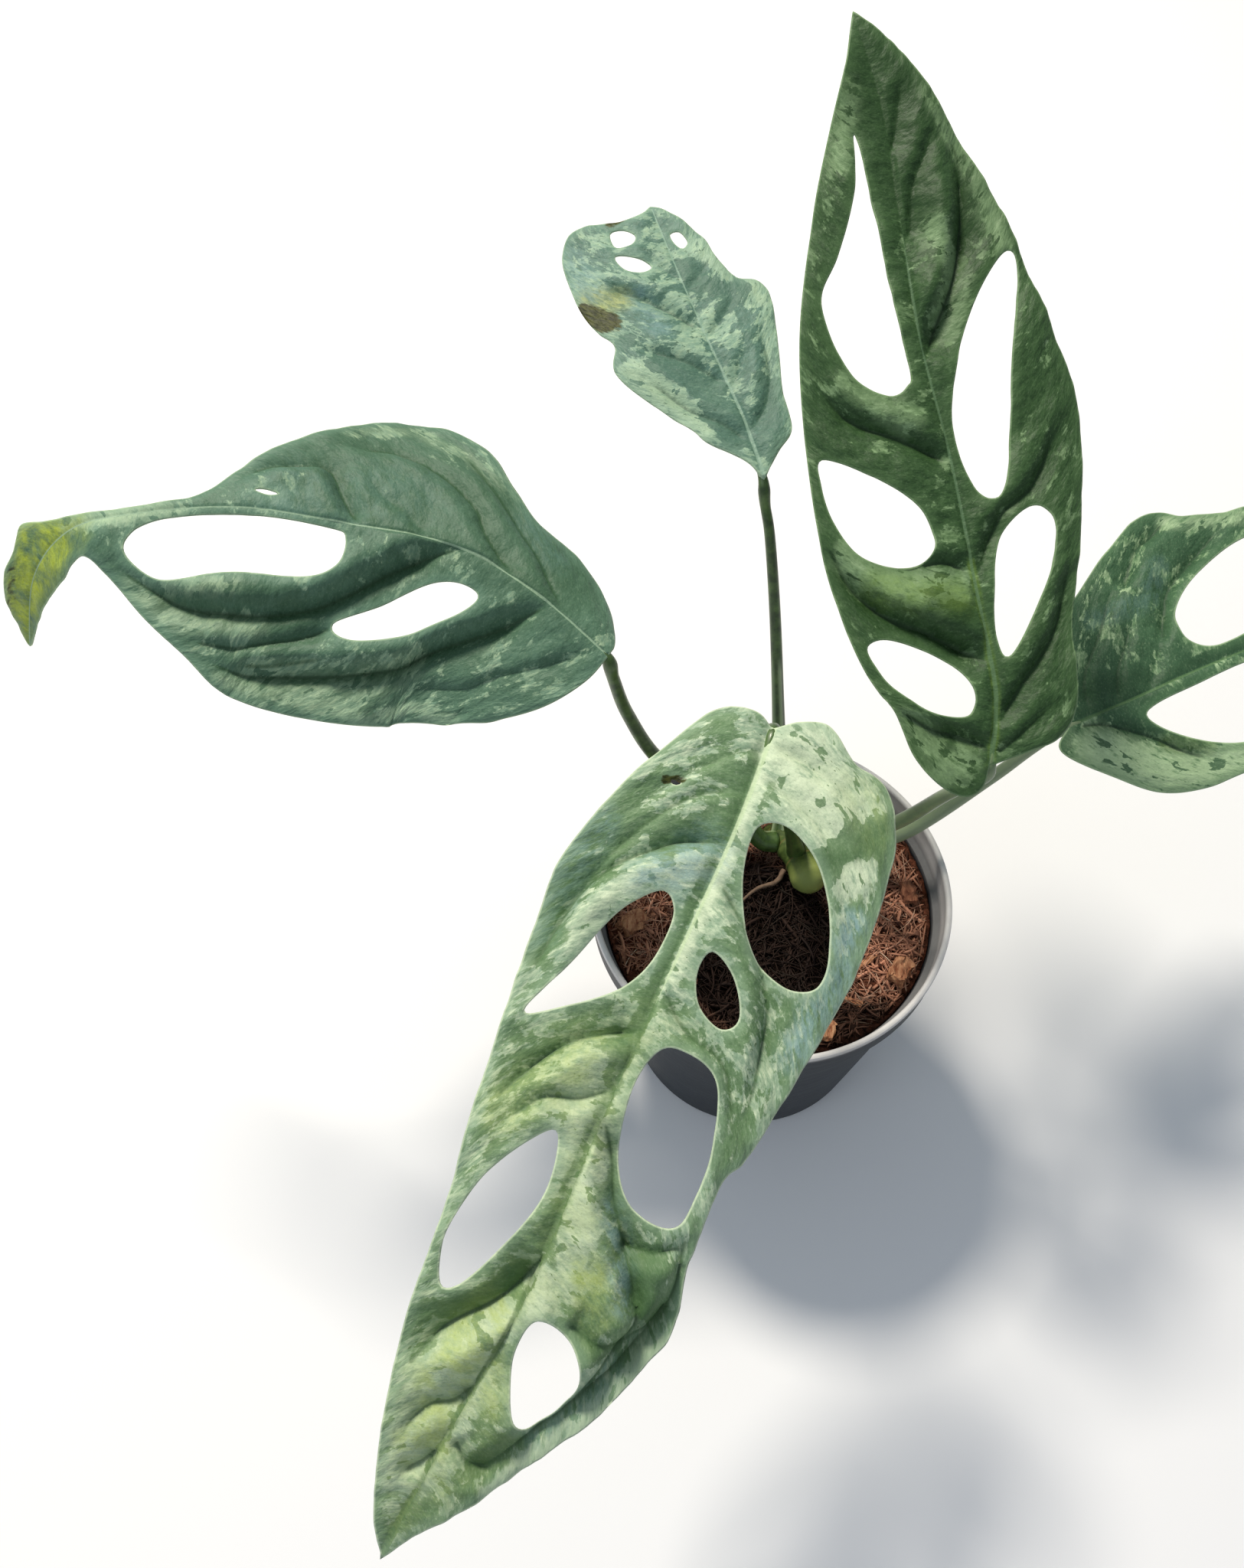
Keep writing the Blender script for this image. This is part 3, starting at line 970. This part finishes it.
def marbled_leaf(name, colours, shares):
    """Make the skin of a marbled leaf from its colours and its shares of mint, cream and flecks.

    Its pattern runs along the side veins: the map "flow" gives millimetres across them, then along.
    """
    solid, mid, mint, cream, deep, lime, blue, rib_tint = colours
    mint_line, cream_line, fleck_line = [
        line + reach * (0.5 - share)
        for line, reach, share in zip((0.54, 0.56, 0.80), (0.24, 0.26, 0.24), shares)]
    material, shader = new_material(name)
    flow = add_node(material, "UVMap", uv_map="flow").outputs["UV"]
    marks = {kind: add_node(material, "Attribute", attribute_name=kind).outputs["Fac"]
             for kind in TINTS + ("vein", "fold", "rib", "edge", "below")}

    # Each pattern has its size across and along in millimetres, then its detail, place, roughness
    # and twist.
    fields = []
    for across, along, detail, offset, rough, twist in (
            (7.0, 11.0, 10.0, 3.0, 0.68, 0.3), (2.2, 5.6, 9.0, 11.0, 0.66, 0.2),
            (4.2, 7.5, 4.0, 27.0, 0.55, 0.4), (1.2, 2.2, 6.0, 41.0, 0.6, 0.0),
            (1.2, 3.2, 6.0, 59.0, 0.62, 0.0), (0.5, 0.9, 4.0, 83.0, 0.6, 0.0),
            (15.0, 22.0, 3.0, 97.0, 0.5, 0.0), (2.2, 3.6, 3.0, 71.0, 0.5, 0.0)):
        spot = add_node(material, "Mapping", {
            "Vector": flow, "Scale": (1 / across, 1 / along, 1.0),
            "Location": (offset, offset * 0.7, offset)}).outputs["Vector"]
        fields.append(add_node(material, "TexNoise", {
            "Vector": spot, "Scale": 1.0, "Detail": detail, "Roughness": rough,
            "Distortion": twist}).outputs["Fac"])
    broad, medium, island, fleck, smear, fine, tone, quilt = fields

    # Each field that a layer follows is a pattern, with shares of marks and other patterns added.
    sums = []
    for total, *others in (
            (broad, (marks["pale"], 0.22), (marks["deep"], -0.2), (smear, 0.08)),
            (medium, (marks["pale"], 0.12)),
            (island, (marks["solid"], 0.3), (marks["deep"], 0.1)),
            (fleck, (broad, 0.35)),
            (broad, (smear, 0.4)),
            (marks["dry"], (medium, 1.6))):
        for field, share in others:
            total = add_node(material, "Math", {0: field, 1: share, 2: total},
                             operation="MULTIPLY_ADD").outputs[0]
        sums.append(total)
    silvery, bright, patch, dark, limy, dried = sums

    green, silver, island_green, dry = [
        lay_colours(material, linear(base), layers, "SMOOTHSTEP")
        for base, *layers in (
            (solid, (mid, smear, 0.36, 0.62, 1.0)),
            (mint, (cream, smear, 0.38, 0.66, 1.0), (mint, medium, 0.42, 0.62, 0.6)),
            (solid, (mid, smear, 0.3, 0.7, 0.4)),
            ("2a3014", ("4c5024", smear, 0.4, 0.6, 1.0)))]
    skin = lay_colours(material, green, (
        (silver, silvery, mint_line - 0.022, mint_line + 0.022, 1.0),
        (cream, bright, cream_line - 0.015, cream_line + 0.02, 0.75),
        (cream, medium, 0.36, 0.5, 0.75, marks["pale"]),
        (island_green, patch, 0.6, 0.618, 0.9),
        (deep, dark, fleck_line - 0.012, fleck_line + 0.015, 0.7),
        (lime, limy, 0.45, 0.9, 1.0, marks["lime"]),
        (blue, medium, 0.35, 0.6, 0.8, marks["blue"]),
        (deep, tone, 0.35, 0.7, 0.22),
        (cream, fine, 0.5, 0.8, 0.25),
        (deep, fine, 0.5, 0.2, 0.3),
        (deep, 1.0, 0.0, 1.0, 0.5, marks["deep"]),
        (deep, 1.0, 0.0, 1.0, 0.65, marks["fold"]),
        (mint, marks["edge"], 3.2, 0.6, 0.4),
        (deep, marks["vein"], 0.7, 0.1, 0.5),
        (rib_tint, marks["rib"], 0.65, 0.3, 0.7),
        (cream, marks["edge"], 0.5, 0.1, 0.6),
        ("93a784", 1.0, 0.0, 1.0, 0.8, marks["below"]),
        (dry, dried, 1.2, 1.55, 1.0)), "SMOOTHSTEP")

    gloss = add_node(material, "MapRange", {"Value": broad, "To Min": 0.42, "To Max": 0.62})
    net = add_node(material, "Bump", {"Height": fine, "Strength": 0.3, "Distance": 0.00012})
    bump = add_node(material, "Bump", {"Height": quilt, "Strength": 0.8, "Distance": 0.0006,
                                       "Normal": net.outputs["Normal"]})
    set_inputs(shader, {"Base Color": skin, "Roughness": gloss.outputs["Result"],
                        "Specular IOR Level": 0.2, "Normal": bump.outputs["Normal"]})
    return material


def flat_blade(loops, length, vein_spots):
    """Give the points and triangles of a flat blade, dense everywhere and lined up with its rib."""
    rib_spots = np.array([(along, 0.0) for along in np.arange(1.0, length - 0.6, VEIN_STEP)])
    low = np.vstack(loops).min(axis=0)
    high = np.vstack(loops).max(axis=0)
    grid = np.array([
        (along, out) for row, out in enumerate(np.arange(low[1], high[1], SKIN_STEP * 0.87))
        for along in np.arange(low[0] + (row % 2) * SKIN_STEP / 2, high[0], SKIN_STEP)])
    grid = grid[np.abs(grid[:, 1]) > RIB_STRIP]
    for spot in vein_spots:
        grid = grid[np.linalg.norm(grid - spot, axis=1) > 0.55 * SKIN_STEP]
    rings = []
    for loop in loops:
        tangent = np.roll(loop, -1, axis=0) - np.roll(loop, 1, axis=0)
        normal = unit(np.stack([-tangent[:, 1], tangent[:, 0]], axis=1))
        rings += [loop + EDGE_ROW * normal, loop - EDGE_ROW * normal]
    beside = [rib_spots + (0.4, out) for out in (-1.2, -0.55, 0.55, 1.2)]
    spots = [*loops, rib_spots]
    for group, room in ((np.vstack(rings), EDGE_ROW_CLEAR),
                        (np.vstack([grid, vein_spots, *beside]), EDGE_CLEAR)):
        group = group[within(loops, group)]
        spots.append(group[rim_distance(loops, group) > room])
    edges = []
    first = 0
    for loop in loops:
        edges += [(first + i, first + (i + 1) % len(loop)) for i in range(len(loop))]
        first += len(loop)
    edges += [(first + i, first + i + 1) for i in range(len(rib_spots) - 1)]
    corners = [Vector(spot) for spot in np.vstack(spots)]
    flat, _, triangles, *_ = delaunay_2d_cdt(corners, edges, [], 0, 1e-4)
    flat = np.array([tuple(spot) for spot in flat])
    triangles = np.array([triangle for triangle in triangles if len(triangle) == 3])
    triangles = triangles[within(loops, flat[triangles].mean(axis=1))]
    used, triangles = np.unique(triangles, return_inverse=True)
    return flat[used], triangles.reshape(-1, 3)


def leaf_blade(name, shape, material):
    """Make one blade: a dense flat triangle mesh, bent, puckered, given a lower face and a rim."""
    right = smooth_curve(shape["right"], EDGE_STEP)
    left = smooth_curve([(along, -out) for along, out in shape["left"]], EDGE_STEP)
    loops = [np.vstack([right[:-1], left[::-1][:-1]])]
    loops += [smooth_curve(hole, EDGE_STEP, closed=True) for hole in shape["holes"]]
    length = right[-1][0]
    vein_lines = [(depth, smooth_curve(line, VEIN_STEP)) for depth, line in shape["veins"]]
    vein_spots = np.vstack([line[2:] for _, line in vein_lines])
    flat, triangles = flat_blade(loops, length, vein_spots)
    count = len(flat)
    along, out = flat.T

    edge = rim_distance(loops, flat)
    share = np.clip(along / length, 0.0, 1.0)
    across, run, room = flow_map(shape, length, along, out, out > 0)
    away = np.clip(np.abs(out) / 4.0, 0.0, 1.0)
    pucker, swell = shape["wrinkle"]
    lift = pucker * away * soft_noise(across, run, 6.0, 14.0, 2.0)
    lift += 0.5 * pucker * away * soft_noise(across, run, 3.2, 4.8, 5.0)
    lift += swell * away * soft_noise(across, run, 15.0, 24.0, 3.0)
    lift += 0.9 * soft_noise(along, np.sign(out) * 20.0, 17.0, 9.0, 8.0) * (np.abs(out) / room) ** 3
    ridge = np.zeros(len(flat))
    vein = np.full(len(flat), 9.0)
    hollow = np.zeros(len(flat))
    for depth, line in vein_lines:
        far, way, side = line_distance(flat, line)
        tipward = side * np.where(out > 0, -1.0, 1.0) > 0
        fade = depth * np.clip((1.0 - way) / 0.3, 0.0, 1.0) * np.clip(way / 0.12, 0.0, 1.0)
        fade *= np.where(out * line[-1][1] > 0, 1.0, 0.0)
        steep = 0.8 + 0.4 * depth
        gentle = 2.0 + 1.3 * depth
        bulge = (far / (2.0 * steep + 1.0)) ** 2
        dip = np.where(tipward, np.exp(-far / steep) - 0.4 * bulge * np.exp(1.0 - bulge),
                       0.25 * np.exp(-far / 0.8) + 0.75 * np.exp(-(far / gentle) ** 1.4))
        lift -= FOLD_DEPTH * fade * dip
        shade = np.where(tipward, np.exp(-far / 0.4), np.exp(-(far / (0.6 * gentle)) ** 1.4))
        hollow = np.maximum(hollow, np.clip(fade / 3.0, 0.0, 1.0) * shade)
        ridge = np.maximum(ridge, 0.5 * np.exp(-(far / 0.7) ** 2) * np.clip((1.0 - way) / 0.5, 0.0, 1.0))
        vein = np.minimum(vein, far + 3.0 * (1.0 - np.clip(fade / 0.8, 0.0, 1.0)))
    rib_size = 1.0 - 0.7 * share
    dip = np.where(out > 0, *shape["rib_dip"])
    lift -= 0.35 * rib_size * np.exp(-(out / 0.6) ** 2) + dip * np.exp(-(np.abs(out) / 4.5) ** 1.2)
    ridge = np.maximum(ridge, 1.5 * rib_size * np.exp(-(out / 1.1) ** 2))
    lift -= 0.35 * np.exp(-edge / 0.9)
    base, up = bent_surface(shape, along, out)
    above = base + up * lift[:, None]
    below = above - up * (BLADE_THICKNESS * (0.6 + 0.4 * np.clip(edge, 0, 1)) + ridge)[:, None]

    first, second, third = [flat[triangles[:, corner]] for corner in range(3)]
    turned = np.cross(second - first, third - first)
    wound = np.where((turned > 0)[:, None], triangles[:, ::-1], triangles)
    pairs = dict.fromkeys(pair for a, b, c in wound for pair in ((a, b), (b, c), (c, a)))
    rim = [(b, a, a + count, b + count) for a, b in pairs if (b, a) not in pairs]
    faces = wound.tolist() + (wound[:, ::-1] + count).tolist() + rim
    blade = finish_mesh("leaf_blade_" + name, np.vstack([above, below]), faces, material)

    past_rib = np.clip((share - shape["rib_end"]) / 0.1, 0.0, 1.0)
    marks = {"vein": vein, "fold": hollow, "rib": np.abs(out) * (1.0 + 2.0 * share) + past_rib,
             "edge": edge}
    ragged = 1.0 + 0.25 * soft_noise(along, out, 4.0, 3.0, 9.0)
    for kind in TINTS:
        marks[kind] = np.zeros(count)
        for radius, strength, line in shape["tints"].get(kind, []):
            far, *_ = line_distance(flat, np.array(line if len(line) > 1 else line * 2, float))
            cover = strength * np.clip(1.6 - 1.6 * far / (radius * ragged), 0.0, 1.0)
            marks[kind] = np.maximum(marks[kind], cover)
    for kind, values in marks.items():
        mark_points(blade, kind, np.concatenate([values, values]))
    mark_points(blade, "below", np.concatenate([np.zeros(count), np.ones(count)]))

    corners = np.zeros(len(blade.data.loops), int)
    blade.data.loops.foreach_get("vertex_index", corners)
    face_sizes = [len(face.vertices) for face in blade.data.polygons]
    owner = np.repeat(np.arange(len(face_sizes)), face_sizes)
    corner_along = along[corners % count]
    corner_out = out[corners % count]
    face_out = np.bincount(owner, corner_out) / np.bincount(owner)
    across, run, _ = flow_map(shape, length, corner_along, corner_out, (face_out > 0)[owner])
    flow = blade.data.uv_layers.new(name="flow")
    flow.data.foreach_set("uv", np.stack([across, run], axis=1).ravel())
    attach(blade, "root")
    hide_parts("leaf_" + name)


# Marbled leaf skin: leathery and softly waxy. Each leaf has its own greens, which are, in turn, the
# plain and the lighter green, mint, cream, the dark green of flecks and folds, lime, blue bloom and
# the rib's tint. The three shares say how much of it is mint, cream and dark flecks.
for name, note, colours, shares in (
        ("front", "mint and fresh green", (
            "64825a", "76936b", "8ea98b", "d6e4c2", "3f5e35", "afc070", "8fafae", "c3d6ac"),
         (0.5, 0.08, 0.25)),
        ("left", "blue green", (
            "4d6d57", "587862", "6c8d76", "a9c19d", "2b4a28", "a9b730", "66897f", "a0bb9c"),
         (0.25, 0.06, 0.1)),
        ("back", "grey green", (
            "4c6c5c", "5c7d6f", "7f9e88", "a6bf9f", "33523f", "a9ad62", "789a98", "8ca994"),
         (0.5, 0.1, 0.45)),
        ("tall", "dark green", (
            "2e4928", "3d5a34", "4e6b43", "86a276", "1e3818", "6f8c3a", "466658", "5b7856"),
         (0.15, -0.4, 0.1)),
        ("right", "mid green", (
            "3c5c40", "466749", "577a54", "aec79c", "233f26", "8a9a48", "64847c", "5a7b4f"),
         (0.3, -0.35, 0.15))):
    leaf_blade(name, LEAVES[name], marbled_leaf("marbled leaf skin, " + note, colours, shares))

# ---------------------------------------------------------------------------------------------
# Husk chips: loose lumps of coconut husk lying on the coir, with a stringy broken grain. Some are
# long splinters, and each has its own shade of red-brown to tan.
husk_finish, shader = new_material("coconut husk")
spot = add_node(husk_finish, "TexCoord").outputs["Object"]
string_spot = add_node(husk_finish, "Mapping", {
    "Vector": spot, "Scale": (900.0, 250.0, 900.0)}).outputs["Vector"]
strings = add_node(husk_finish, "TexNoise", {
    "Vector": string_spot, "Scale": 1.0, "Detail": 6.0, "Roughness": 0.7}).outputs["Fac"]
shade = add_node(husk_finish, "Attribute", attribute_name="shade").outputs["Fac"]
low, high = [
    lay_colours(husk_finish, linear(dark), [(light, shade, 0.0, 1.0, 1.0)])
    for dark, light in (("3c1a10", "8a4c2c"), ("7d3a26", "d9a67c"))]
tan = lay_colours(husk_finish, low, [(high, strings, 0.35, 0.65, 1.0)])
bump = add_node(husk_finish, "Bump", {"Height": strings, "Strength": 0.9, "Distance": 0.0006})
set_inputs(shader, {"Base Color": tan, "Roughness": 0.9, "Normal": bump.outputs["Normal"]})
noise.seed_set(5)                  # else the lumps' vector noise starts from the clock
for number, (x, y, length, width, turn, shade) in enumerate((
        (35, -21, 6.5, 4.2, 60, 0.75), (40, 3, 6, 3.5, 100, 0.3), (27, -17, 7.5, 1.6, 35, 0.9),
        (-38, -6, 6.5, 4.5, 40, 0.8), (14, -38, 5, 3.2, 70, 1.2), (21, -29, 6.5, 1.4, 155, 1.0),
        (33, 9, 5, 2.5, 20, 0.7), (-24, -24, 6, 3, 10, 0.4)), start=1):
    bpy.ops.object.select_all(action="DESELECT")
    bpy.ops.mesh.primitive_cube_add(size=MM)
    chip = bpy.context.object
    chip.name = f"husk_lump_{number}"
    bpy.ops.object.mode_set(mode="EDIT")
    bpy.ops.mesh.select_all(action="SELECT")
    bpy.ops.mesh.subdivide(number_cuts=9, smoothness=0.25)
    bpy.ops.transform.resize(value=(length, width, 0.75 * width), center_override=(0.0, 0.0, 0.0))
    bpy.ops.object.mode_set(mode="OBJECT")
    for corner in chip.data.vertices:
        spot = corner.co / MM
        shift = 0.3 * width * noise.noise_vector(spot * 0.45 + Vector((number * 5.0, 0.0, 0.0)))
        grain = 0.4 * noise.noise_vector(Vector((spot.x * 0.5, spot.y * 1.8, spot.z * 1.8 + number)))
        corner.co = (spot + shift + grain) * MM
    lowest = min(corner.co.z for corner in chip.data.vertices)
    place = Vector((x * MM, y * MM, (coir_height(x, y) - 0.2) * MM - lowest))
    chip.data.transform(Matrix.Translation(place) @ Matrix.Rotation(math.radians(turn), 4, "Z"))
    chip.data.materials.append(husk_finish)
    mark_points(chip, "shade", [shade] * len(chip.data.vertices))
    bpy.ops.object.shade_smooth_by_angle(angle=math.radians(25))
    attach(chip, "root")
    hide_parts(f"husk_chip_{number}")
